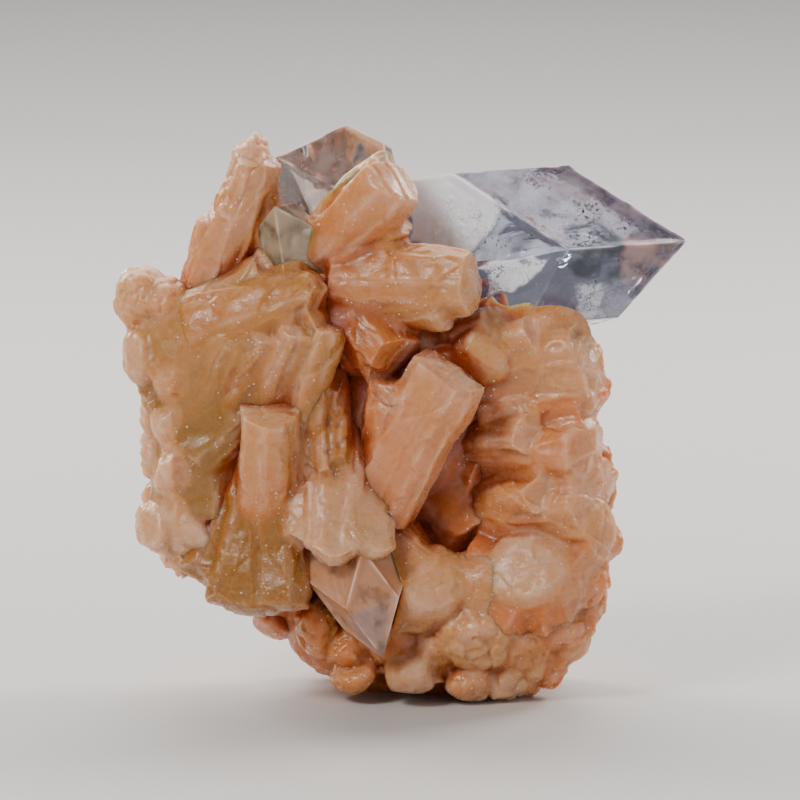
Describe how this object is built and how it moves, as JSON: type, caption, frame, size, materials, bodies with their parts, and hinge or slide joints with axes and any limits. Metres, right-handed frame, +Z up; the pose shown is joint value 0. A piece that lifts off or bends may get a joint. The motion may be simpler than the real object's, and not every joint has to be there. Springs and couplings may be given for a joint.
{
  "type": "mineral specimen",
  "caption": "Mineral specimen of clear, pointed apophyllite crystals grown into a cluster of peach and orange stilbite blades, standing on a worn foot.",
  "frame": {"origin": "middle of the bounding box, on the plane that the specimen stands on", "axes": "+X to the right across the front, +Y into the specimen away from the viewer, +Z up"},
  "size_m": [0.0628, 0.0376, 0.0633],
  "materials": {
    "stilbite": "waxy, slightly translucent crystal faces",
    "apophyllite_clear": "clear crystal with etched and striated faces",
    "apophyllite_pink": "clear, faintly pink crystal",
    "apophyllite_grey": "clear, greyish crystal",
    "apophyllite_rose": "translucent, greyish pink crystal"
  },
  "bodies": {
    "root": {"stilbite_cluster": "stilbite", "apophyllite_point": "apophyllite_clear", "apophyllite_top": "apophyllite_pink", "apophyllite_inner": "apophyllite_grey", "apophyllite_low": "apophyllite_rose"}
  },
  "joints": []
}
